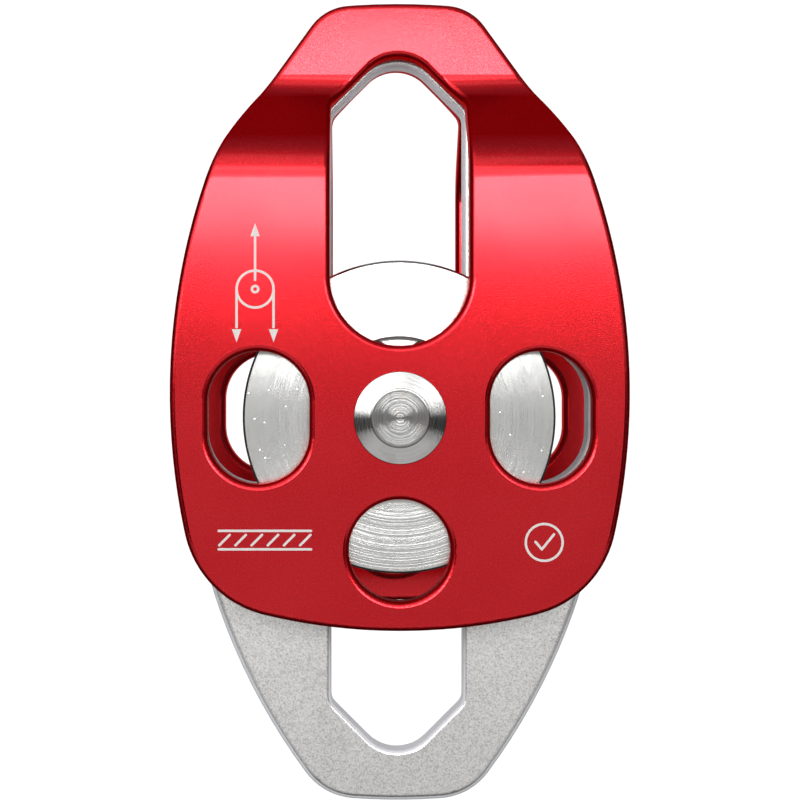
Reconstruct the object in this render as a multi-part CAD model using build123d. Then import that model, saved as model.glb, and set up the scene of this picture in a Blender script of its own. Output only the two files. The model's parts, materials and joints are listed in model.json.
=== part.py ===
"""Double rope pulley with a fixed centre plate and two swinging side plates, for rope up to 15 mm.

Each piece is drawn about the axle: X across the plates, Y along the axle (the front is -Y) and Z up
towards the connector slot. Saving a piece moves it so that the origin is the seat of the centre plate's
upper slot, where the connector bears. Lengths are in millimetres and angles in degrees.
"""

import math
import os

from build123d import *

# ---------------------------------------------------------------- driving dimensions
ROPE_DIAMETER = 15.0

# plates, front to back
CENTRE_PLATE_T = 6.0
SIDE_PLATE_T = 5.0

# what all three outlines share
SIDE_ARC_R = 115.0
TOP_ARC_R = 120.0
SHOULDER_ANGLE = 36.0
SHOULDER_R = 60.0
TOP_CORNER_R = 9.0

# side plates
SIDE_HALF_WIDTH = 40.0
SIDE_WIDEST_Z = 4.3
SIDE_TOP_Z = 74.9
SIDE_APEX_Z = 92.5
SIDE_BOTTOM_Z = -37.1
SIDE_BOTTOM_ARC_R = 100.0
SIDE_BOTTOM_CORNER_R = 18.5
SIDE_EDGE_R = 1.0

# joggle that brings the side plates' heads in to the centre plate
JOGGLE_STEP = 15.5
JOGGLE_ANGLE = 50.0
JOGGLE_BEND_R = 8.0
JOGGLE_MIDDLE_Z = 51.7

# centre plate
CENTRE_HALF_WIDTH = 39.5
CENTRE_WIDEST_Z = 2.0
CENTRE_TOP_Z = 73.2
CENTRE_APEX_Z = 91.0
CENTRE_BOTTOM_Z = -71.5
CENTRE_BOTTOM_ARC_R = 120.0
CENTRE_BOTTOM_CORNER_R = 12.0
CENTRE_EDGE_R = 1.3
CENTRE_SLOT_EDGE_R = 0.9

# slots: a round seat at one end, between 45 degree flanks, and a half circle at the other
SLOT_HALF_WIDTH = 12.2
SLOT_SEAT_R = 7.5
SLOT_FLANK_R = 2.5
SIDE_SLOT_SEAT_Z = 65.3
CENTRE_SLOT_SEAT_Z = 64.5
UPPER_SLOT_END_Z = 12.5
BECKET_SLOT_SEAT_Z = -62.2
BECKET_SLOT_END_Z = -12.3

# windows
SIDE_WINDOW_X = 24.6
SIDE_WINDOW_WIDTH = 17.8
SIDE_WINDOW_HEIGHT = 23.2
CENTRE_WINDOW_X = 25.5
CENTRE_WINDOW_WIDTH = 19.6
CENTRE_WINDOW_HEIGHT = 25.4
ROUND_WINDOW_R = 8.9
ROUND_WINDOW_Z = -23.1

# sheaves
SHEAVE_R = 27.6
SHEAVE_WIDTH = 17.0
SHEAVE_EDGE = 0.4
BORE_EDGE = 0.25
GROOVE_R = ROPE_DIAMETER / 2 + 0.25
GROOVE_LIP_R = 0.3

# deep-groove ball bearings, 12 x 28 x 7, two side by side in each sheave
BEARING_BORE_R = 6.0
BEARING_R = 14.0
BEARING_WIDTH = 7.0
PITCH_R = 10.0
BALL_R = 1.984
BALL_COUNT = 9
BALL_PLAY = 0.05
INNER_LAND_R = 8.5
OUTER_LAND_R = 11.5
RACE_EDGE = 0.4
CAGE_INNER_R = 9.0
CAGE_OUTER_R = 11.0
CAGE_HALF_WIDTH = 2.4
SEAL_R = 12.2
SEAL_T = 0.6
SEAL_INSET = 0.3
SEAL_LIP_GAP = 0.15

# internal snap rings that hold the bearings in a sheave
SNAP_RING_T = 1.2
SNAP_GROOVE_T = 1.3
SNAP_GROOVE_R = 14.7
SNAP_RING_R = 14.6
SNAP_RING_INNER_R = 12.6
SNAP_GAP_ANGLE = 36.0
LUG_R = 1.7
LUG_HOLE_R = 0.75
LUG_PITCH_R = 12.3

# axle, bushes and spacers
FIT_PLAY = 0.03
PLATE_PLAY = 0.15
BUSH_R = 7.0
SPACER_T = 1.8
SPACER_R = 8.0
HEAD_R = 8.0
HEAD_T = 2.95
HEAD_RIM_T = 1.95
HEAD_FACE_R = 5.05
HEAD_FACE_EDGE = 0.12
SPIGOT_R = 4.0
SPIGOT_LENGTH = 14.0

# places along the axle, worked out from the stack on it
CENTRE_FACE_Y = CENTRE_PLATE_T / 2
SHEAVE_Y = CENTRE_FACE_Y + SPACER_T + BEARING_WIDTH
OUTER_SPACER_Y = SHEAVE_Y + BEARING_WIDTH
BUSH_Y = OUTER_SPACER_Y + SPACER_T
SIDE_INNER_Y = BUSH_Y + PLATE_PLAY
SIDE_OUTER_Y = SIDE_INNER_Y + SIDE_PLATE_T
HEAD_SEAT_Y = SIDE_OUTER_Y + PLATE_PLAY
HEAD_END_Y = HEAD_SEAT_Y + HEAD_T

FAR = 200.0
TO_ORIGIN = Pos(0, 0, -CENTRE_SLOT_SEAT_Z)
TURN_TO_REAR = Rot(0, 0, 180)


# ---------------------------------------------------------------- helpers
def slab(sketch, low_y, high_y):
    """A sketch of X and Z with thickness along Y."""
    return Pos(0, high_y, 0) * extrude(Plane.XZ * sketch, amount=high_y - low_y)


def turned(*profile):
    """A closed profile of (radius, y) points, turned about the axle."""
    return revolve(make_face(Polyline(*profile, close=True)), Axis.Y)


def ring(inner_r, outer_r, low_y, high_y):
    return turned((inner_r, low_y), (outer_r, low_y), (outer_r, high_y), (inner_r, high_y))


def disc(radius, low_y, high_y):
    return ring(0, radius, low_y, high_y)


def edged_ring(inner_r, outer_r, half_width, edge):
    """A ring about y = 0 whose four corners are chamfered."""
    profile = Pos((inner_r + outer_r) / 2, 0) * Rectangle(outer_r - inner_r, 2 * half_width)
    return revolve(chamfer(profile.vertices(), edge), Axis.Y)


def save(name, piece):
    export_step(TO_ORIGIN * piece, f"parts/{name}.step")


# ---------------------------------------------------------------- outlines, in X and Z
def plate_outline(half_width, widest_z, top_z, apex_z, bottom_z, bottom_arc_r, bottom_corner_r):
    """Two side arcs, closed by a top arc, slanting shoulders that aim at an apex, and a bottom arc."""
    right_side = Pos(half_width - SIDE_ARC_R, widest_z) * Circle(SIDE_ARC_R)
    left_side = Pos(SIDE_ARC_R - half_width, widest_z) * Circle(SIDE_ARC_R)
    top = Pos(0, top_z - TOP_ARC_R) * Circle(TOP_ARC_R)
    bottom = Pos(0, bottom_z + bottom_arc_r) * Circle(bottom_arc_r)
    spread = FAR * math.tan(math.radians(SHOULDER_ANGLE))
    base_z = apex_z - FAR
    shoulders = make_face(Polyline((0, apex_z), (spread, base_z), (-spread, base_z), close=True))
    shape = right_side & left_side & top & bottom & shoulders
    shape = fillet(shape.vertices().group_by(Axis.Y)[-1], TOP_CORNER_R)
    shape = fillet(shape.vertices().group_by(Axis.Y)[1], SHOULDER_R)
    return fillet(shape.vertices().group_by(Axis.Y)[0], bottom_corner_r)


def slot(seat_z, end_z):
    """A slot from its pointed, rounded seat to its half-round end."""
    way = 1 if seat_z > end_z else -1
    apex_z = seat_z + way * SLOT_SEAT_R * (math.sqrt(2) - 1)
    flank_z = apex_z - way * SLOT_HALF_WIDTH
    centre_z = end_z + way * SLOT_HALF_WIDTH
    half = SLOT_HALF_WIDTH
    corners = [(0, apex_z), (half, flank_z), (half, centre_z), (-half, centre_z), (-half, flank_z)]
    shape = make_face(Polyline(*corners, close=True))
    by_height = shape.vertices().group_by(Axis.Y)
    shape = fillet(by_height[-1] if way > 0 else by_height[0], SLOT_SEAT_R)
    flanks = shape.vertices().filter_by(lambda v: abs(v.Y - flank_z) < 0.01)
    return fillet(flanks, SLOT_FLANK_R) + Pos(0, centre_z) * Circle(half)


def side_windows(x, width, height):
    """A pair of upright windows with half-round ends, level with the axle."""
    upright = SlotOverall(height, width, rotation=90)
    return Pos(x, 0) * upright + Pos(-x, 0) * upright


# ---------------------------------------------------------------- plates
def make_centre_plate():
    outline = plate_outline(
        CENTRE_HALF_WIDTH,
        CENTRE_WIDEST_Z,
        CENTRE_TOP_Z,
        CENTRE_APEX_Z,
        CENTRE_BOTTOM_Z,
        CENTRE_BOTTOM_ARC_R,
        CENTRE_BOTTOM_CORNER_R,
    )
    plate = slab(outline, -CENTRE_FACE_Y, CENTRE_FACE_Y)
    plate = fillet(plate.edges().filter_by(Plane.XZ), CENTRE_EDGE_R)
    openings = slot(CENTRE_SLOT_SEAT_Z, UPPER_SLOT_END_Z) + slot(BECKET_SLOT_SEAT_Z, BECKET_SLOT_END_Z)
    openings += side_windows(CENTRE_WINDOW_X, CENTRE_WINDOW_WIDTH, CENTRE_WINDOW_HEIGHT)
    plate -= slab(openings, -CENTRE_PLATE_T, CENTRE_PLATE_T)
    skins = plate.faces().filter_by(GeomType.PLANE).filter_by(Axis.Y)
    rims = [edge for skin in skins for wire in skin.inner_wires() for edge in wire.edges()]
    plate = fillet(rims, CENTRE_SLOT_EDGE_R)
    return plate - slab(Circle(BEARING_BORE_R + FIT_PLAY), -CENTRE_PLATE_T, CENTRE_PLATE_T)


def joggle_line(in_front):
    """A line of Y and Z that follows the joggle, at a distance in front of the plate's middle."""
    turn = math.radians(JOGGLE_ANGLE)
    middle_y = -(SIDE_INNER_Y + SIDE_OUTER_Y) / 2
    slope_rise = JOGGLE_STEP / math.tan(turn)
    low_y = middle_y - in_front
    high_y = low_y + JOGGLE_STEP
    middle_z = JOGGLE_MIDDLE_Z + in_front * math.tan(turn / 2)
    points = [
        (low_y, -FAR),
        (low_y, middle_z - slope_rise / 2),
        (high_y, middle_z + slope_rise / 2),
        (high_y, FAR),
    ]
    return FilletPolyline(*points, radius=[JOGGLE_BEND_R + in_front, JOGGLE_BEND_R - in_front])


def make_side_plate():
    """The front plate: flat at the sheave, then stepped in towards the centre plate at its head."""
    front = joggle_line(SIDE_PLATE_T / 2)
    back = joggle_line(-SIDE_PLATE_T / 2)
    ends = [Line(front @ 0, back @ 0), Line(front @ 1, back @ 1)]
    section = Plane.YZ * make_face([*front.edges(), *back.edges(), *ends])
    sheet = extrude(section, amount=SIDE_HALF_WIDTH + 1, both=True)
    outline = plate_outline(
        SIDE_HALF_WIDTH,
        SIDE_WIDEST_Z,
        SIDE_TOP_Z,
        SIDE_APEX_Z,
        SIDE_BOTTOM_Z,
        SIDE_BOTTOM_ARC_R,
        SIDE_BOTTOM_CORNER_R,
    )
    outline -= slot(SIDE_SLOT_SEAT_Z, UPPER_SLOT_END_Z)
    outline -= side_windows(SIDE_WINDOW_X, SIDE_WINDOW_WIDTH, SIDE_WINDOW_HEIGHT)
    outline -= Pos(0, ROUND_WINDOW_Z) * Circle(ROUND_WINDOW_R)
    plate = sheet & slab(outline, -HEAD_END_Y, 0)
    walls = plate.faces().filter_by(lambda face: abs(face.normal_at().Y) < 0.001)
    rims = [edge for edge in walls.edges() if abs((edge % 0.5).Y) < 0.999]
    plate = fillet(rims, SIDE_EDGE_R)
    return plate - slab(Circle(BUSH_R + FIT_PLAY), -HEAD_END_Y, 0)


# ---------------------------------------------------------------- sheave and snap rings
def make_sheave():
    """A sheave about y = 0, grooved for the rope, with a bore for two bearings and their snap rings."""
    blank = Pos((BEARING_R + SHEAVE_R) / 2, 0) * Rectangle(SHEAVE_R - BEARING_R, SHEAVE_WIDTH)
    rim = blank.vertices().group_by(Axis.X)[-1]
    blank = chamfer(rim, SHEAVE_EDGE)
    bore = blank.vertices().group_by(Axis.X)[0]
    blank = chamfer(bore, BORE_EDGE)
    blank -= Pos(SHEAVE_R, 0) * Circle(GROOVE_R)
    lips = blank.vertices().filter_by(lambda v: v.X > SHEAVE_R - 0.01 and abs(v.Y) < GROOVE_R + 0.01)
    blank = fillet(lips, GROOVE_LIP_R)
    for end in (-1, 1):
        ring_y = end * (BEARING_WIDTH + SNAP_GROOVE_T / 2)
        blank -= Pos(BEARING_R, ring_y) * Rectangle(2 * (SNAP_GROOVE_R - BEARING_R), SNAP_GROOVE_T)
    return revolve(blank, Axis.Y)


def make_snap_ring():
    """An internal snap ring from y = 0 to its thickness, open at the top between two eyed lugs."""
    shape = Circle(SNAP_RING_R) - Circle(SNAP_RING_INNER_R)
    spread = FAR * math.tan(math.radians(SNAP_GAP_ANGLE / 2))
    shape -= make_face(Polyline((0, 0), (spread, FAR), (-spread, FAR), close=True))
    for side in (-1, 1):
        angle = math.radians(90 + side * SNAP_GAP_ANGLE / 2)
        place = Pos(LUG_PITCH_R * math.cos(angle), LUG_PITCH_R * math.sin(angle))
        shape += place * Circle(LUG_R)
        shape -= place * Circle(LUG_HOLE_R)
    return slab(shape, 0, SNAP_RING_T)


# ---------------------------------------------------------------- ball bearing, about y = 0
def make_outer_race():
    race = edged_ring(OUTER_LAND_R, BEARING_R, BEARING_WIDTH / 2, RACE_EDGE)
    race -= ball_track()
    seat_y = BEARING_WIDTH / 2 - SEAL_INSET - SEAL_T
    for end in (-1, 1):
        low_y, high_y = sorted((end * seat_y, end * BEARING_WIDTH))
        race -= ring(PITCH_R, SEAL_R, low_y, high_y)
    return race


def make_inner_race():
    return edged_ring(BEARING_BORE_R + FIT_PLAY, INNER_LAND_R, BEARING_WIDTH / 2, RACE_EDGE) - ball_track()


def ball_track():
    """The ring-shaped space that the balls run in."""
    return revolve(Pos(PITCH_R, 0) * Circle(BALL_R + BALL_PLAY), Axis.Y)


def around_pitch(piece):
    """One copy of a piece at each ball's place."""
    step = 360 / BALL_COUNT
    return [Rot(0, index * step, 0) * Pos(PITCH_R, 0, 0) * piece for index in range(BALL_COUNT)]


def make_balls():
    return Compound(around_pitch(Sphere(BALL_R)))


def make_cage():
    cage = ring(CAGE_INNER_R, CAGE_OUTER_R, -CAGE_HALF_WIDTH, CAGE_HALF_WIDTH)
    for pocket in around_pitch(Sphere(BALL_R + BALL_PLAY)):
        cage -= pocket
    return cage


def make_seals():
    """The two rubber seals, which sit in the outer race and just clear the inner one."""
    low_y = BEARING_WIDTH / 2 - SEAL_INSET - SEAL_T
    seal = ring(INNER_LAND_R + SEAL_LIP_GAP, SEAL_R, low_y, low_y + SEAL_T)
    return Compound([seal, TURN_TO_REAR * seal])


BEARING_PIECES = {
    "outer_race": make_outer_race,
    "inner_race": make_inner_race,
    "balls": make_balls,
    "cage": make_cage,
    "seals": make_seals,
}


# ---------------------------------------------------------------- axle
def head_profile(end_y):
    """The half section of a head at the front end: a straight rim, a flat cone and a turned face."""
    seat_y = -HEAD_SEAT_Y
    return [
        (HEAD_R, seat_y),
        (HEAD_R, seat_y - HEAD_RIM_T),
        (HEAD_FACE_R + HEAD_FACE_EDGE, end_y + HEAD_FACE_EDGE),
        (HEAD_FACE_R, end_y),
        (0, end_y),
    ]


def make_axle_pin():
    """The shaft and its front head, with a blind hole in the rear end for the cap's spigot."""
    shaft = [(0, HEAD_SEAT_Y), (BEARING_BORE_R, HEAD_SEAT_Y), (BEARING_BORE_R, -HEAD_SEAT_Y)]
    pin = turned(*shaft, *head_profile(-HEAD_END_Y))
    hole_bottom = HEAD_SEAT_Y - SPIGOT_LENGTH - PLATE_PLAY
    return pin - disc(SPIGOT_R + FIT_PLAY, hole_bottom, HEAD_SEAT_Y)


def make_axle_cap():
    """The rear head, drawn at the front end: it holds in the shaft by a pressed spigot."""
    spigot_y = SPIGOT_LENGTH - HEAD_SEAT_Y
    spigot = [(0, spigot_y), (SPIGOT_R, spigot_y), (SPIGOT_R, -HEAD_SEAT_Y)]
    return turned(*spigot, *head_profile(-HEAD_END_Y))


# ---------------------------------------------------------------- assembly
def front_half_pieces():
    """Each piece of the front half in its place, by the last part of its name."""
    pieces = {
        "side_plate": make_side_plate(),
        "sheave": Pos(0, -SHEAVE_Y, 0) * make_sheave(),
        "bush": ring(BEARING_BORE_R + FIT_PLAY, BUSH_R, -HEAD_SEAT_Y, -BUSH_Y),
        "outer_spacer": ring(BEARING_BORE_R + FIT_PLAY, SPACER_R, -BUSH_Y, -OUTER_SPACER_Y),
        "inner_spacer": ring(BEARING_BORE_R + FIT_PLAY, SPACER_R, -CENTRE_FACE_Y - SPACER_T, -CENTRE_FACE_Y),
    }
    snap_ring = make_snap_ring()
    play = (SNAP_GROOVE_T - SNAP_RING_T) / 2
    pieces["inner_snap_ring"] = Pos(0, BEARING_WIDTH + play - SHEAVE_Y, 0) * snap_ring
    pieces["outer_snap_ring"] = Pos(0, -BEARING_WIDTH - play - SNAP_RING_T - SHEAVE_Y, 0) * snap_ring
    for number, shift in ((1, -BEARING_WIDTH / 2), (2, BEARING_WIDTH / 2)):
        for name, make in BEARING_PIECES.items():
            pieces[f"bearing_{number}_{name}"] = Pos(0, shift - SHEAVE_Y, 0) * make()
    return pieces


def main():
    os.makedirs("parts", exist_ok=True)
    save("centre_plate", make_centre_plate())
    save("axle_pin", make_axle_pin())
    save("axle_cap", TURN_TO_REAR * make_axle_cap())
    for name, piece in front_half_pieces().items():
        save(f"front_{name}", piece)
        save(f"rear_{name}", TURN_TO_REAR * piece)


main()
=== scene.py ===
import json
import math

import bpy
from bpy.props import FloatProperty, FloatVectorProperty, IntProperty, PointerProperty
from bpy.types import Operator, Panel, PropertyGroup
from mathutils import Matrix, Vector


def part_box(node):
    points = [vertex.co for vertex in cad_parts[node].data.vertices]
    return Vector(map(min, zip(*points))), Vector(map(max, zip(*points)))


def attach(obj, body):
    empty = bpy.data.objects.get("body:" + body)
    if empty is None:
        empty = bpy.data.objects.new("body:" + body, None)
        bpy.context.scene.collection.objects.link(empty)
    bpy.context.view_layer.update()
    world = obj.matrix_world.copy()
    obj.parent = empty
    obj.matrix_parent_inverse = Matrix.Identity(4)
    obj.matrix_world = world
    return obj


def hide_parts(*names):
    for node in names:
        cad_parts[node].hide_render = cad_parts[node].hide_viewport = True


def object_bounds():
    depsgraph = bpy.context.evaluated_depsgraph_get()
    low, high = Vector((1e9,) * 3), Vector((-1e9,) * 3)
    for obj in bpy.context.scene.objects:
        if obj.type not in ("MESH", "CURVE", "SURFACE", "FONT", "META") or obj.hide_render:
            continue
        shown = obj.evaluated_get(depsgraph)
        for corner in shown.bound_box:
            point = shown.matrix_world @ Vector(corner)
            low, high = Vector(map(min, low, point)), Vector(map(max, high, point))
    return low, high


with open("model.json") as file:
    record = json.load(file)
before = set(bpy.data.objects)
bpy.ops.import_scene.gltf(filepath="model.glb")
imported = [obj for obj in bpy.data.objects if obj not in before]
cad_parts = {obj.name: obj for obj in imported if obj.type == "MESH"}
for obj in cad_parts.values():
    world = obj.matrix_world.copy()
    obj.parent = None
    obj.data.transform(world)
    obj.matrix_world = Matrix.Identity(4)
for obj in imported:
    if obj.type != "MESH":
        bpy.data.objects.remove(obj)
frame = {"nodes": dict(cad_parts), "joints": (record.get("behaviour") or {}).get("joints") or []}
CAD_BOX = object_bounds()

bl_info = {
    "name": "Rope pulley",
    "version": (1, 0, 0),
    "blender": (4, 5, 0),
    "location": "3D View > Sidebar > Pulley",
    "description": "Finishes, turned axle, etched marks and studio for a double rope pulley",
    "category": "Object",
}

MM = 0.001
QUARTER_TURN = math.radians(90)
AXLE = Vector(next(joint["pos_m"] for joint in frame["joints"] if joint["name"] == "front_plate_swing"))


def near_and_far(node):
    """The front and back of a CAD node along the axle."""
    low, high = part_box(node)
    return low.y, high.y


# ---------------------------------------------------------------- sizes and colours


def length(name, description, default):
    return FloatProperty(name=name, description=description, default=default, unit="LENGTH", precision=6)


def colour(name, description, default):
    return FloatVectorProperty(
        name=name, description=description, default=default, subtype="COLOR", size=3, min=0.0, max=1.0
    )


class PulleyColours(PropertyGroup):
    """Colours of the pulley's finishes."""

    red_dye: colour("Red dye", "Dye in the side plates' anodising", (0.55, 0.008, 0.014))
    # painted shade: a darker red for the plates' side walls, where less of the front light falls
    shaded_wall_red: colour("Shaded wall red", "Painted shade on the plates' side walls", (0.40, 0.004, 0.008))
    plate_silver: colour("Centre plate", "Blasted and clear anodised aluminium", (0.66, 0.65, 0.64))
    sheave_silver: colour("Sheaves", "Turned aluminium", (0.50, 0.50, 0.485))
    nick_white: colour("Nicks", "Bright metal in the sheaves' small knocks", (0.86, 0.86, 0.86))
    head_steel: colour("Axle", "Turned stainless steel", (0.50, 0.495, 0.485))
    face_steel: colour("Axle's flats", "Duller steel where the heads were faced", (0.22, 0.22, 0.215))
    ring_black: colour("Snap rings", "Phosphated spring steel", (0.030, 0.027, 0.026))
    seal_black: colour("Seals", "Nitrile rubber", (0.020, 0.018, 0.018))
    race_steel: colour("Races and balls", "Ground bearing steel", (0.62, 0.62, 0.63))
    cage_tan: colour("Cages", "Moulded nylon", (0.42, 0.36, 0.24))
    bush_bronze: colour("Bushes", "Sintered bronze", (0.56, 0.37, 0.19))
    etch_white: colour("Etched marks", "Laser-etched aluminium", (0.60, 0.58, 0.56))
    studio_white: colour("Studio", "Glow of the light tent behind the pulley", (1.0, 1.0, 1.0))


class PulleySizes(PropertyGroup):
    """Sizes of the finishes' detail and of the pieces that are added to the frame."""

    blast_grain: length("Blast grain", "Size of a dimple of the bead-blasted finish", 0.26 * MM)
    blast_depth: length("Blast depth", "Depth of the blasted finish", 0.006 * MM)
    turning_pitch: length("Turning pitch", "Spacing of the tool marks on the sheaves' faces", 0.045 * MM)
    turning_depth: length("Turning depth", "Depth of the tool marks on the sheaves' faces", 0.008 * MM)
    facing_pitch: length("Facing pitch", "Spacing of the tool marks on the axle's heads", 0.30 * MM)
    facing_depth: length("Facing depth", "Depth of the tool marks on the axle's heads", 0.002 * MM)
    shaft_radius: length("Shaft radius", "Radius of the axle's shaft", 6.0 * MM)
    spigot_radius: length("Spigot radius", "Radius of the spigot on the rear head", 4.0 * MM)
    head_radius: length("Head radius", "Radius of the axle's heads", 8.0 * MM)
    head_rim: length("Head rim", "Height of the straight rim of a head", 1.95 * MM)
    face_radius: length("Face radius", "Radius of the flat on a head", 5.05 * MM)
    turned_segments: IntProperty(
        name="Turned segments", description="Sides of a turned piece", default=160, min=24
    )
    etch_height: length("Etch height", "How far the etched marks stand off the plate", 0.015 * MM)
    etch_line: length("Etch line", "Width of an etched line", 0.42 * MM)
    tent_radius: length("Tent radius", "Radius of the light tent", 1.3)
    floor_drop: length("Floor drop", "Distance from the pulley's lowest point to the floor", 0.26)
    wall_height: length("Wall height", "Height of the light tent's wall above its floor", 1.05)


def colours():
    return bpy.context.scene.pulley_colours


def sizes():
    return bpy.context.scene.pulley_sizes


# ---------------------------------------------------------------- shader maths


class Signal:
    """A shader socket that arithmetic works on: each operator adds its Math node."""

    def __init__(self, finish, socket):
        self.finish = finish
        self.socket = socket

    def maths(self, operation, *values):
        inputs = dict(enumerate((self, *values)))
        return self.finish.node("ShaderNodeMath", {"operation": operation}, inputs)

    def __add__(self, other):
        return self.maths("ADD", other)

    def __sub__(self, other):
        return self.maths("SUBTRACT", other)

    def __mul__(self, other):
        return self.maths("MULTIPLY", other)

    def __truediv__(self, other):
        return self.maths("DIVIDE", other)

    def __pow__(self, other):
        return self.maths("POWER", other)

    def __rsub__(self, other):
        return self.finish.node("ShaderNodeMath", {"operation": "SUBTRACT"}, {0: other, 1: self})

    def __abs__(self):
        return self.maths("ABSOLUTE")

    __radd__ = __add__
    __rmul__ = __mul__

    def sine(self):
        return self.maths("SINE")

    def ramp(self, low, high):
        """A smooth step from 0 at low to 1 at high; low may be the larger, for a step down."""
        inputs = {"Value": self, "From Min": low, "From Max": high}
        return self.finish.node("ShaderNodeMapRange", {"interpolation_type": "SMOOTHSTEP"}, inputs)


class Finish:
    """One procedural material: a Principled shader and the nodes that feed it."""

    def __init__(self, name, **constants):
        self.material = bpy.data.materials.new(name)
        self.material.use_nodes = True
        self.tree = self.material.node_tree
        self.shader = self.tree.nodes["Principled BSDF"]
        for socket, value in constants.items():
            self.set(socket.replace("_", " ").title(), value)

    def set(self, socket, value):
        self.feed(self.shader.inputs[socket], value)

    def feed(self, socket, value):
        """Links a signal to a socket, or sets the socket to a plain value."""
        if isinstance(value, Signal):
            self.tree.links.new(value.socket, socket)
        elif socket.type == "RGBA" and len(value) == 3:
            socket.default_value = (*value, 1.0)
        else:
            socket.default_value = value

    def node(self, kind, settings, inputs, output=0):
        """A node with its settings made first, then its sockets' values or links; returns one output."""
        node = self.tree.nodes.new(kind)
        for name, value in settings.items():
            setattr(node, name, value)
        for name, value in inputs.items():
            self.feed(node.inputs[name], value)
        return Signal(self, node.outputs[output])

    def place(self):
        """Object coordinates centred on the axle."""
        place = self.node("ShaderNodeTexCoord", {}, {}, "Object")
        return self.node("ShaderNodeMapping", {}, {"Vector": place, "Location": tuple(-AXLE)})

    def parts(self, vector):
        """The X, Y and Z of a vector."""
        split = self.node("ShaderNodeSeparateXYZ", {}, {"Vector": vector})
        outputs = split.socket.node.outputs
        return [Signal(self, outputs[axis]) for axis in "XYZ"]

    def radius(self):
        """Distance from the axle's line."""
        x, _, z = self.parts(self.place())
        return (x * x + z * z) ** 0.5

    def facing(self):
        """How squarely the surface faces along the axle, from 0 on a wall to 1 on a flat face."""
        normal = self.node("ShaderNodeNewGeometry", {}, {}, "Normal")
        return abs(self.parts(normal)[1])

    def noise(self, size, detail=2.0):
        """Soft noise from 0 to 1 whose features are about this size."""
        inputs = {"Vector": self.place(), "Scale": 1 / size, "Detail": detail}
        return self.node("ShaderNodeTexNoise", {}, inputs)

    def rings(self, pitch):
        """Uneven rings about the axle, as a cutting tool leaves them."""
        inputs = {"W": self.radius() / pitch, "Scale": 1.0, "Detail": 1.0}
        return self.node("ShaderNodeTexNoise", {"noise_dimensions": "1D"}, inputs)

    def specks(self, size, reach, seed):
        """1 inside small spots, one in each cell of this size, which reach this share of a cell."""
        offset = {0: self.place(), 1: (seed, seed, seed)}
        shifted = self.node("ShaderNodeVectorMath", {"operation": "ADD"}, offset)
        cells = {"Vector": shifted, "Scale": 1 / size, "Randomness": 1.0}
        distance = self.node("ShaderNodeTexVoronoi", {"feature": "F1"}, cells, "Distance")
        return distance.ramp(reach, reach * 0.6)

    def mix(self, factor, first, second):
        """Two colours mixed; a Mix node's colour sockets are its inputs 6 and 7 and its output 2."""
        return self.node("ShaderNodeMix", {"data_type": "RGBA"}, {0: factor, 6: first, 7: second}, 2)

    def bump(self, height, distance, strength=1.0, under=None):
        """A normal raised by a height, on top of the normal under it if one is given."""
        inputs = {"Height": height, "Distance": distance, "Strength": strength}
        if under:
            inputs["Normal"] = under
        return self.node("ShaderNodeBump", {}, inputs)

    def wear_on(self, *nodes):
        for name in nodes:
            frame["nodes"][name].material_slots[0].material = self.material


# ---------------------------------------------------------------- finishes


def red_anodising(name):
    """Bead-blasted aluminium under a red dye: a fine sparkle, softer bends, and painted shade on the cut
    walls, whose red is darker.
    """
    finish = Finish(name, metallic=1.0, specular_tint=(0.55, 0.02, 0.03), coat_roughness=0.10)
    fresh_dye = (0.72, 0.014, 0.022)
    shaded_dye = (0.20, 0.003, 0.006)
    glint = (1.0, 0.05, 0.07)
    cutter_pitch = 0.45 * MM
    cutter_depth = 0.006 * MM
    grain = finish.noise(sizes().blast_grain, detail=3.0)
    cloud = finish.noise(14 * MM)
    facing = finish.facing()
    wall = facing.ramp(0.25, 0.05)
    bend = facing.ramp(0.998, 0.90)
    # painted shade: the side walls get the darker wall red in place of the dye, standing in for the shade
    # on them
    dye = finish.mix(wall, colours().red_dye, colours().shaded_wall_red)
    patchy = finish.mix(cloud.ramp(0.3, 0.75) * 0.16, dye, fresh_dye)
    shade = grain.ramp(0.46, 0.30) * (1 - wall) * 0.30
    sparkle = grain.ramp(0.52, 0.72) * (1 - wall) * 0.28
    finish.set("Base Color", finish.mix(sparkle, finish.mix(shade, patchy, shaded_dye), glint))
    finish.set("Roughness", 0.11 + grain * 0.05 + bend * 0.22)
    finish.set("Coat Weight", (0.25 + cloud * 0.15) * facing.ramp(0.60, 0.98))
    _, across, _ = finish.parts(finish.place())
    cutter = (across / cutter_pitch * math.tau).sine() * wall
    blasted = finish.bump(grain, sizes().blast_depth * 1.5)
    finish.set("Normal", finish.bump(cutter, cutter_depth, 0.6, under=blasted))
    return finish


def blasted_silver(name):
    """Bead-blasted aluminium with a clear anodised skin, and a pale bluish highlight painted on its
    rougher, less metallic edges and walls.
    """
    finish = Finish(name, metallic=1.0)
    warm_silver = (0.58, 0.565, 0.55)
    dimple_grey = (0.30, 0.295, 0.285)
    painted_edge_highlight = (0.90, 0.92, 0.96)
    grain = finish.noise(sizes().blast_grain, detail=3.0)
    cloud = finish.noise(9 * MM, detail=3.0)
    edge = finish.facing().ramp(0.96, 0.80)
    tone = finish.mix(cloud.ramp(0.35, 0.7) * 0.30, colours().plate_silver, warm_silver)
    speckled = finish.mix(grain.ramp(0.35, 0.62) * 0.55 + 0.45, dimple_grey, tone)
    # painted highlight: edges and walls are mixed towards a pale bluish white, with less metal and more
    # roughness below
    finish.set("Base Color", finish.mix(edge * 0.9, speckled, painted_edge_highlight))
    finish.set("Metallic", 1 - edge * 0.75)
    finish.set("Roughness", 0.24 + grain * 0.10 + edge * 0.34)
    finish.set("Normal", finish.bump(grain, sizes().blast_depth * 4))
    return finish


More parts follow.
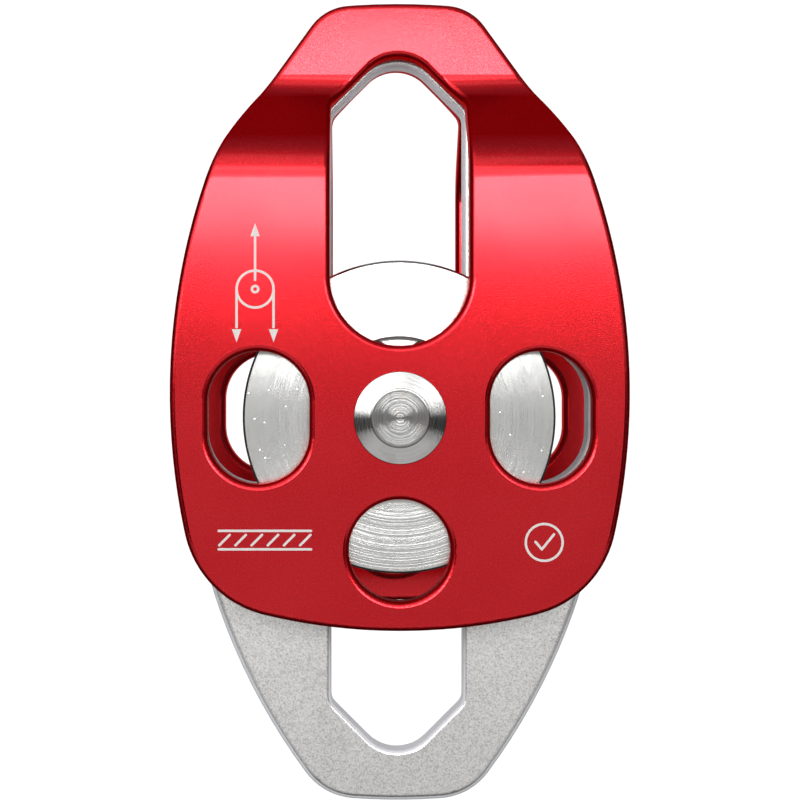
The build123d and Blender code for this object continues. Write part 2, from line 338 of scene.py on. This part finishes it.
def turned_sheave(name):
    """Turned aluminium: rings left by the tool, a soft haze, small bright nicks and duller pits."""
    finish = Finish(name, metallic=1.0)
    haze_grey = (0.38, 0.38, 0.365)
    pit_grey = (0.42, 0.42, 0.41)
    haze = finish.noise(5 * MM, detail=4.0)
    nicks = finish.specks(2.2 * MM, reach=0.09, seed=0.013)
    pits = finish.specks(1.3 * MM, reach=0.08, seed=0.041)
    tone = finish.mix(haze.ramp(0.35, 0.7) * 0.4, colours().sheave_silver, haze_grey)
    nicked = finish.mix(nicks, tone, colours().nick_white)
    finish.set("Base Color", finish.mix(pits * 0.5, nicked, pit_grey))
    finish.set("Roughness", 0.13 + haze * 0.08)
    rough = finish.bump(finish.noise(0.2 * MM), 0.005 * MM)
    turned = finish.bump(finish.rings(sizes().turning_pitch), sizes().turning_depth, under=rough)
    finish.set("Normal", finish.bump(nicks - pits, 0.02 * MM, under=turned))
    return finish


def turned_steel(name):
    """Stainless steel straight off the lathe, with very fine rings over the cut ones and duller flats."""
    finish = Finish(name, metallic=1.0)
    painted_brown_reflection = (0.30, 0.26, 0.22)
    reflection_and_roughness_patches = finish.noise(2.5 * MM, detail=3.0)
    flat = finish.radius().ramp(sizes().face_radius + 0.1 * MM, sizes().face_radius)
    steel = finish.mix(flat, colours().head_steel, colours().face_steel)
    # painted reflection: brown patches in the steel's colour stand in for a brownish reflection; the same
    # noise also varies the roughness
    finish.set("Base Color", finish.mix(reflection_and_roughness_patches.ramp(0.45, 0.8) * 0.30, steel, painted_brown_reflection))
    finish.set("Roughness", 0.09 + reflection_and_roughness_patches * 0.05)
    finish.set("Normal", finish.bump(finish.rings(0.045 * MM), 0.009 * MM))
    return finish


def ground_steel(name):
    """Ground bearing steel with faint grinding rings."""
    finish = Finish(name, metallic=1.0, base_color=colours().race_steel)
    finish.set("Roughness", 0.16 + finish.noise(1.2 * MM) * 0.10)
    finish.set("Normal", finish.bump(finish.rings(0.08 * MM), 0.002 * MM))
    return finish


def phosphated_ring(name):
    """Black phosphated spring steel, stamped, with rubbed patches."""
    finish = Finish(name, metallic=1.0)
    rubbed_brown = (0.16, 0.12, 0.10)
    rubbed = finish.noise(1.6 * MM, detail=4.0).ramp(0.55, 0.8)
    finish.set("Base Color", finish.mix(rubbed * 0.5, colours().ring_black, rubbed_brown))
    finish.set("Roughness", 0.55 - rubbed * 0.2)
    finish.set("Normal", finish.bump(finish.noise(0.15 * MM, detail=3.0), 0.006 * MM))
    return finish


def moulded_rubber(name):
    """Black seal rubber with a matt moulded skin."""
    finish = Finish(name, base_color=colours().seal_black)
    skin = finish.noise(0.12 * MM, detail=3.0)
    finish.set("Roughness", 0.58 + skin * 0.2)
    finish.set("Normal", finish.bump(skin, 0.004 * MM))
    return finish


def moulded_nylon(name):
    """Natural nylon of the bearing cages."""
    finish = Finish(name)
    aged_nylon = (0.30, 0.25, 0.16)
    cloud = finish.noise(1.0 * MM, detail=3.0)
    finish.set("Base Color", finish.mix(cloud * 0.4, colours().cage_tan, aged_nylon))
    finish.set("Roughness", 0.42 + cloud * 0.15)
    finish.set("Normal", finish.bump(finish.noise(0.2 * MM), 0.004 * MM))
    return finish


def sintered_bronze(name):
    """Porous bronze of the bushes, dark with oil in its pores."""
    finish = Finish(name, metallic=1.0)
    oily_pore = (0.12, 0.08, 0.05)
    pores = finish.specks(0.18 * MM, reach=0.35, seed=0.007)
    finish.set("Base Color", finish.mix(pores * 0.7, colours().bush_bronze, oily_pore))
    finish.set("Roughness", 0.34 + pores * 0.25)
    finish.set("Normal", finish.bump(1 - pores, 0.01 * MM))
    return finish


def etched_white(name):
    """Aluminium laid bare by a laser: pale, matt and slightly grainy."""
    finish = Finish(name)
    pink_grey = (0.48, 0.42, 0.41)
    grain = finish.noise(0.10 * MM)
    finish.set("Base Color", finish.mix(grain.ramp(0.4, 0.7) * 0.25, colours().etch_white, pink_grey))
    finish.set("Roughness", 0.55 + grain * 0.2)
    return finish


# ---------------------------------------------------------------- the frame's nodes


class PULLEY_OT_side_plates(Operator):
    """Give both side plates their red anodised finish"""

    bl_idname = "pulley.side_plates"
    bl_label = "Side plates"

    def execute(self, context):
        red_anodising("red_anodised_front").wear_on("front_side_plate")
        red_anodising("red_anodised_rear").wear_on("rear_side_plate")
        return {"FINISHED"}


class PULLEY_OT_centre_plate(Operator):
    """Give the centre plate its blasted silver finish"""

    bl_idname = "pulley.centre_plate"
    bl_label = "Centre plate"

    def execute(self, context):
        blasted_silver("satin_aluminium").wear_on("centre_plate")
        return {"FINISHED"}


class PULLEY_OT_sheaves(Operator):
    """Give the two sheaves their turned finish"""

    bl_idname = "pulley.sheaves"
    bl_label = "Sheaves"

    def execute(self, context):
        turned_sheave("sheave_aluminium").wear_on("front_sheave", "rear_sheave")
        return {"FINISHED"}


class PULLEY_OT_bearings(Operator):
    """Give the bearings, snap rings, spacers and bushes their finishes"""

    bl_idname = "pulley.bearings"
    bl_label = "Bearings, rings and bushes"

    def execute(self, context):
        steel = ground_steel("bearing_steel")
        black = phosphated_ring("black_spring_steel")
        rubber = moulded_rubber("seal_rubber")
        nylon = moulded_nylon("cage_polymer")
        bronze = sintered_bronze("bronze")
        for half in ("front", "rear"):
            steel.wear_on(f"{half}_inner_spacer", f"{half}_outer_spacer")
            black.wear_on(f"{half}_inner_snap_ring", f"{half}_outer_snap_ring")
            bronze.wear_on(f"{half}_bush")
            for bearing in (f"{half}_bearing_1", f"{half}_bearing_2"):
                steel.wear_on(f"{bearing}_outer_race", f"{bearing}_inner_race", f"{bearing}_balls")
                rubber.wear_on(f"{bearing}_seals")
                nylon.wear_on(f"{bearing}_cage")
        return {"FINISHED"}


# ---------------------------------------------------------------- modelling helpers


def start_clean():
    """Leaves edit mode and selects nothing, so that the next operator touches only its own piece."""
    if bpy.context.object and bpy.context.object.mode != "OBJECT":
        bpy.ops.object.mode_set(mode="OBJECT")
    bpy.ops.object.select_all(action="DESELECT")


def settle(piece, name, material, body):
    """Bakes a finished piece's place into its mesh, names it and fastens it to its body."""
    bpy.ops.object.transform_apply(location=True, rotation=True, scale=True)
    piece.name = name
    piece.data.name = name
    piece.data.materials.clear()
    piece.data.materials.append(material)
    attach(piece, body)


def turn_on_lathe(profile):
    """A closed turned piece: a disc at the profile's first (radius, y), drawn out from point to point."""
    start_clean()
    radius, y = profile[0]
    bpy.ops.mesh.primitive_circle_add(
        vertices=sizes().turned_segments,
        radius=radius,
        fill_type="NGON",
        location=(AXLE.x, y, AXLE.z),
        rotation=(QUARTER_TURN, 0, 0),
    )
    bpy.ops.object.mode_set(mode="EDIT")
    for next_radius, next_y in profile[1:]:
        bpy.ops.mesh.extrude_region_move(TRANSFORM_OT_translate={"value": (0, next_y - y, 0)})
        scale = next_radius / radius
        bpy.ops.transform.resize(value=(scale, 1, scale), center_override=(AXLE.x, next_y, AXLE.z))
        radius, y = next_radius, next_y
    bpy.ops.mesh.select_all(action="SELECT")
    bpy.ops.mesh.normals_make_consistent(inside=False)
    bpy.ops.object.mode_set(mode="OBJECT")
    bpy.ops.object.shade_smooth_by_angle(angle=math.radians(25))
    return bpy.context.object


# ---------------------------------------------------------------- axle


def head_profile(seat_y, end_y):
    """A head from its seat to the middle of its face: rim, cone, bright edge and faced rings."""
    given = sizes()
    out = math.copysign(1.0, end_y - seat_y)
    rim_edge = 0.10 * MM
    face_edge = 0.12 * MM
    profile = [
        (given.head_radius - rim_edge, seat_y),
        (given.head_radius, seat_y + out * rim_edge),
        (given.head_radius, seat_y + out * given.head_rim),
        (given.head_radius - rim_edge, seat_y + out * (given.head_rim + rim_edge)),
        (given.face_radius + face_edge, end_y - out * face_edge),
        (given.face_radius + face_edge / 3, end_y - out * face_edge / 3),
        (given.face_radius - face_edge, end_y),
    ]
    radius = given.face_radius - 2 * face_edge
    while radius > 2 * given.facing_pitch:
        profile.append((radius, end_y))
        profile.append((radius - given.facing_pitch / 2, end_y - out * given.facing_depth))
        radius -= given.facing_pitch
    return profile


class PULLEY_OT_axle(Operator):
    """Turn the axle and the rear head on the lathe, in place of their plain solids"""

    bl_idname = "pulley.axle"
    bl_label = "Axle and heads"

    def execute(self, context):
        steel = turned_steel("turned_steel").material
        self.pin(steel)
        self.cap(steel)
        return {"FINISHED"}

    def pin(self, steel):
        """The floor and wall of its bore, its shaft, and its front head, which sits opposite its end."""
        given = sizes()
        bore_radius = given.spigot_radius + 0.03 * MM
        front_y, end_y = near_and_far("axle_pin")
        spigot_y, _ = near_and_far("axle_cap")
        bore_floor_y = spigot_y - 0.15 * MM
        shaft = [
            (bore_radius, bore_floor_y),
            (bore_radius, end_y),
            (given.shaft_radius, end_y),
            (given.shaft_radius, -end_y),
        ]
        pin = turn_on_lathe(shaft + head_profile(-end_y, front_y))
        settle(pin, "turned_axle_pin", steel, "frame")
        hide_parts("axle_pin")

    def cap(self, steel):
        """The spigot and the rear head, which sits on the pin's end."""
        _, seat_y = near_and_far("axle_pin")
        spigot_y, rear_y = near_and_far("axle_cap")
        spigot = [(sizes().spigot_radius, spigot_y), (sizes().spigot_radius, seat_y)]
        cap = turn_on_lathe(spigot + head_profile(seat_y, rear_y))
        settle(cap, "turned_axle_cap", steel, "frame")
        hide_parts("axle_cap")


# ---------------------------------------------------------------- etched marks


def flat_bar(start, end, width):
    """A straight etched line with rounded ends, flat on the ground plane."""
    start, end = Vector(start), Vector(end)
    run = end - start
    middle = (start + end) / 2
    turn = math.atan2(run.y, run.x)
    start_clean()
    bpy.ops.mesh.primitive_plane_add(size=1, location=(middle.x, middle.y, 0), rotation=(0, 0, turn))
    bar = bpy.context.object
    bar.scale = (run.length + width, width, 1)
    bpy.ops.object.transform_apply(location=True, rotation=True, scale=True)
    bpy.ops.object.mode_set(mode="EDIT")
    bpy.ops.mesh.select_all(action="SELECT")
    bpy.ops.mesh.bevel(offset=width * 0.48, segments=3, affect="VERTICES")
    bpy.ops.object.mode_set(mode="OBJECT")
    return bar


def flat_ring(radius, width):
    """A round etched line about the mark's middle, drawn inwards from its outer radius."""
    start_clean()
    bpy.ops.mesh.primitive_circle_add(vertices=64, radius=radius, fill_type="NGON", location=(0, 0, 0))
    bpy.ops.object.mode_set(mode="EDIT")
    bpy.ops.mesh.select_all(action="SELECT")
    bpy.ops.mesh.inset(thickness=width)
    bpy.ops.mesh.delete(type="FACE")
    bpy.ops.object.mode_set(mode="OBJECT")
    return bpy.context.object


def flat_head(tip, way, size):
    """A filled, slender arrowhead whose tip points up (way 1) or down (way -1)."""
    tip_x, tip_y = tip
    slenderness = 0.62
    start_clean()
    bpy.ops.mesh.primitive_circle_add(
        vertices=3, radius=size, fill_type="NGON", location=(tip_x, tip_y - way * size, 0)
    )
    head = bpy.context.object
    head.scale = (slenderness, way, 1)
    bpy.ops.object.transform_apply(location=True, rotation=True, scale=True)
    return head


def etch(name, material, shapes, at_x, above_axle):
    """Joins flat shapes, each a little higher than the last, into one mark on the front side plate."""
    height = sizes().etch_height
    start_clean()
    for step, shape in enumerate(shapes):
        shape.location.z = step * height / 30
        shape.select_set(True)
    bpy.context.view_layer.objects.active = shapes[0]
    bpy.ops.object.join()
    mark = bpy.context.object
    bpy.ops.object.mode_set(mode="EDIT")
    bpy.ops.mesh.select_all(action="SELECT")
    bpy.ops.mesh.normals_make_consistent(inside=False)
    bpy.ops.mesh.extrude_region_move(TRANSFORM_OT_translate={"value": (0, 0, 2 * height)})
    bpy.ops.mesh.select_all(action="SELECT")
    bpy.ops.mesh.normals_make_consistent(inside=False)
    bpy.ops.object.mode_set(mode="OBJECT")
    plate_front, _ = near_and_far("front_side_plate")
    mark.rotation_euler = (QUARTER_TURN, 0, 0)
    mark.location = (at_x, plate_front + height, AXLE.z + above_axle)
    settle(mark, name, material, "front_side_plate")


class PULLEY_OT_marks(Operator):
    """Etch plain marks on the front plate: the load's directions, a rope and a tick in a ring"""

    bl_idname = "pulley.marks"
    bl_label = "Etched marks"

    def execute(self, context):
        white = etched_white("etched_marks").material
        line = sizes().etch_line
        etch("etched_load_mark", white, self.load_shapes(line), at_x=-25.1 * MM, above_axle=22.3 * MM)
        etch("etched_rope_mark", white, self.rope_shapes(line), at_x=-23.4 * MM, above_axle=-21.2 * MM)
        etch("etched_tick_mark", white, self.tick_shapes(line), at_x=25.0 * MM, above_axle=-21.6 * MM)
        return {"FINISHED"}

    def load_shapes(self, line):
        """A wheel with its hub, an arrow up from the hub and an arrow down from each side."""
        wheel = 3.2 * MM
        hub = 0.75 * MM
        head = 1.5 * MM
        shapes = [flat_ring(wheel + line / 2, line), flat_ring(hub, line)]
        shapes.append(flat_bar((0, 1.6 * MM), (0, 9.0 * MM), line))
        shapes.append(flat_head((0, 11.4 * MM), 1, head))
        for x in (-wheel, wheel):
            shapes.append(flat_bar((x, 0), (x, -6.6 * MM), line))
            shapes.append(flat_head((x, -9.2 * MM), -1, head))
        return shapes

    def rope_shapes(self, line):
        """Two long lines with slanting strands between them."""
        half_length = 8.0 * MM
        half_width = 1.6 * MM
        half_strand = 0.9 * MM
        strand_pitch = 2.8 * MM
        strands = 6
        shapes = [flat_bar((-half_length, y), (half_length, y), line) for y in (-half_width, half_width)]
        for step in range(strands):
            middle = (step - (strands - 1) / 2) * strand_pitch
            low = (middle - half_strand, -half_strand)
            high = (middle + half_strand, half_strand)
            shapes.append(flat_bar(low, high, line))
        return shapes

    def tick_shapes(self, line):
        """A ring with a tick in it, whose two strokes don't quite meet."""
        shapes = [flat_ring(3.4 * MM, line)]
        shapes.append(flat_bar((-1.5 * MM, 0.1 * MM), (-0.45 * MM, -1.15 * MM), line))
        shapes.append(flat_bar((-0.4 * MM, -1.2 * MM), (1.7 * MM, 1.4 * MM), line))
        return shapes


# ---------------------------------------------------------------- studio


def light_tent():
    """A round tent with no roof, whose wall curves into its floor."""
    given = sizes()
    floor_z = CAD_BOX[0].z - given.floor_drop
    start_clean()
    bpy.ops.mesh.primitive_cylinder_add(
        vertices=96,
        radius=given.tent_radius,
        depth=given.wall_height,
        end_fill_type="NGON",
        location=(0, 0, floor_z + given.wall_height / 2),
    )
    tent = bpy.context.object
    tent.name = "light_tent"
    remove_roof(tent)
    round_floor_edge(tent, given.tent_radius / 4)
    bpy.ops.object.shade_smooth()
    bpy.ops.object.transform_apply(location=True, rotation=True, scale=True)
    return tent


def remove_roof(tent):
    bpy.ops.object.mode_set(mode="EDIT")
    bpy.ops.mesh.select_all(action="DESELECT")
    bpy.ops.object.mode_set(mode="OBJECT")
    for face in tent.data.polygons:
        face.select = face.normal.z > 0.9
    bpy.ops.object.mode_set(mode="EDIT")
    bpy.ops.mesh.delete(type="FACE")
    bpy.ops.object.mode_set(mode="OBJECT")


def round_floor_edge(tent, radius):
    """Rounds the edges that lie wholly below the tent's own middle, and turns its faces inwards."""
    for edge in tent.data.edges:
        ends = [tent.data.vertices[index].co.z for index in edge.vertices]
        edge.select = max(ends) < 0
    bpy.ops.object.mode_set(mode="EDIT")
    bpy.ops.mesh.bevel(offset=radius, segments=12)
    bpy.ops.mesh.select_all(action="SELECT")
    bpy.ops.mesh.normals_make_consistent(inside=True)
    bpy.ops.object.mode_set(mode="OBJECT")


def glowing_paper(name):
    """Dark paper lit from outside, dimly in front of the pulley and brightly behind it."""
    paper = Finish(name, base_color=(0.10, 0.10, 0.10), roughness=0.9, emission_strength=1.0)
    front_glow = (0.66, 0.66, 0.66)
    _, depth, _ = paper.parts(paper.place())
    behind = depth.ramp(0.1 * sizes().tent_radius, 0.6 * sizes().tent_radius)
    paper.set("Emission Color", paper.mix(behind, front_glow, colours().studio_white))
    return paper


def flag(name, material, place, size, turn):
    """A dark card that only reflections see."""
    start_clean()
    bpy.ops.mesh.primitive_plane_add(size=1, location=place, rotation=turn)
    card = bpy.context.object
    card.name = name
    card.scale = (*size, 1)
    bpy.ops.object.transform_apply(location=True, rotation=True, scale=True)
    card.data.materials.append(material)
    card.visible_camera = False
    card.visible_shadow = False


def soft_light(name, place, aim, width, height, power):
    """A soft box that the camera itself doesn't see."""
    start_clean()
    bpy.ops.object.light_add(type="AREA", location=place)
    light = bpy.context.object
    light.name = name
    light.data.shape = "RECTANGLE"
    light.data.size = width
    light.data.size_y = height
    light.data.energy = power
    light.rotation_euler = (Vector(aim) - Vector(place)).to_track_quat("-Z", "Y").to_euler()
    light.visible_camera = False


class PULLEY_OT_studio(Operator):
    """Put up the light tent, the flags, the lights and the camera"""

    bl_idname = "pulley.studio"
    bl_label = "Studio"

    def execute(self, context):
        tent = light_tent()
        tent.data.materials.append(glowing_paper("tent_paper").material)
        self.flags()
        self.lights()
        self.dim_ceiling()
        self.camera()
        return {"FINISHED"}

    def flags(self):
        """Two flags in front, turned towards the pulley, one at each side and one underneath."""
        cloth = Finish("flag_cloth", base_color=(0.03, 0.03, 0.03), roughness=0.9).material
        front_size = (0.40, 0.17)
        side_size = (0.90, 0.90)
        floor_size = (0.90, 0.70)
        for side in (-1, 1):
            front_place = (side * 0.33, -0.50, AXLE.z - 0.065)
            flag("front_flag", cloth, front_place, front_size, (QUARTER_TURN, 0, side * math.radians(33)))
            flag("side_flag", cloth, (side * 0.48, 0.02, AXLE.z), side_size, (0, QUARTER_TURN, 0))
        flag("floor_flag", cloth, (0, 0.10, AXLE.z - 0.27), floor_size, (0, 0, 0))

    def lights(self):
        """A long bright box level with the plates' upper half, and three weaker ones around it."""
        left, front = -0.05, -0.85
        plates = (0, 0, -0.06)
        soft_light("key_box", (left, front, 0.099), (left, 0, 0.099), width=0.80, height=0.14, power=3.9)
        soft_light("upper_box", (left, front, 0.31), (left, 0, 0.10), width=0.80, height=0.25, power=1.3)
        soft_light("top_box", (-0.30, -0.62, 0.52), plates, width=0.90, height=0.50, power=1.4)
        soft_light("left_strip", (-0.54, -0.60, 0.06), plates, width=0.30, height=0.30, power=0.45)

    def dim_ceiling(self):
        world = bpy.data.worlds.new("dim_ceiling")
        world.use_nodes = True
        world.node_tree.nodes["Background"].inputs["Color"].default_value = (0.32, 0.32, 0.33, 1)
        bpy.context.scene.world = world

    def camera(self):
        """A long lens straight in front, a little left of and above the axle."""
        from_axle = Vector((-7.75, -355.75, 7.4)) * MM
        start_clean()
        bpy.ops.object.camera_add(location=AXLE + from_axle, rotation=(QUARTER_TURN, 0, 0))
        camera = bpy.context.object
        camera.name = "front_camera"
        camera.data.lens = 85.7
        camera.data.sensor_width = 36
        camera.data.shift_x = 0.056
        camera.data.shift_y = -0.0312
        camera.data.clip_start = 0.01
        camera.data.clip_end = 10
        bpy.context.scene.camera = camera
        bpy.context.scene.view_settings.view_transform = "Standard"


# ---------------------------------------------------------------- panel and registration

OPERATORS = (
    PULLEY_OT_side_plates,
    PULLEY_OT_centre_plate,
    PULLEY_OT_sheaves,
    PULLEY_OT_bearings,
    PULLEY_OT_axle,
    PULLEY_OT_marks,
    PULLEY_OT_studio,
)


class PULLEY_PT_panel(Panel):
    """Lists the pulley's operators, colours and sizes"""

    bl_label = "Rope pulley"
    bl_idname = "PULLEY_PT_panel"
    bl_space_type = "VIEW_3D"
    bl_region_type = "UI"
    bl_category = "Pulley"

    def draw(self, context):
        for operator in OPERATORS:
            self.layout.operator(operator.bl_idname)
        for group in (context.scene.pulley_colours, context.scene.pulley_sizes):
            for name in group.__annotations__:
                self.layout.prop(group, name)


CLASSES = (PulleyColours, PulleySizes, *OPERATORS, PULLEY_PT_panel)


def register():
    for cls in CLASSES:
        bpy.utils.register_class(cls)
    bpy.types.Scene.pulley_colours = PointerProperty(type=PulleyColours)
    bpy.types.Scene.pulley_sizes = PointerProperty(type=PulleySizes)


def unregister():
    del bpy.types.Scene.pulley_sizes
    del bpy.types.Scene.pulley_colours
    for cls in reversed(CLASSES):
        bpy.utils.unregister_class(cls)


def main():
    register()
    for operator in OPERATORS:
        name = operator.bl_idname.removeprefix("pulley.")
        getattr(bpy.ops.pulley, name)()


if __name__ == "__main__":
    main()
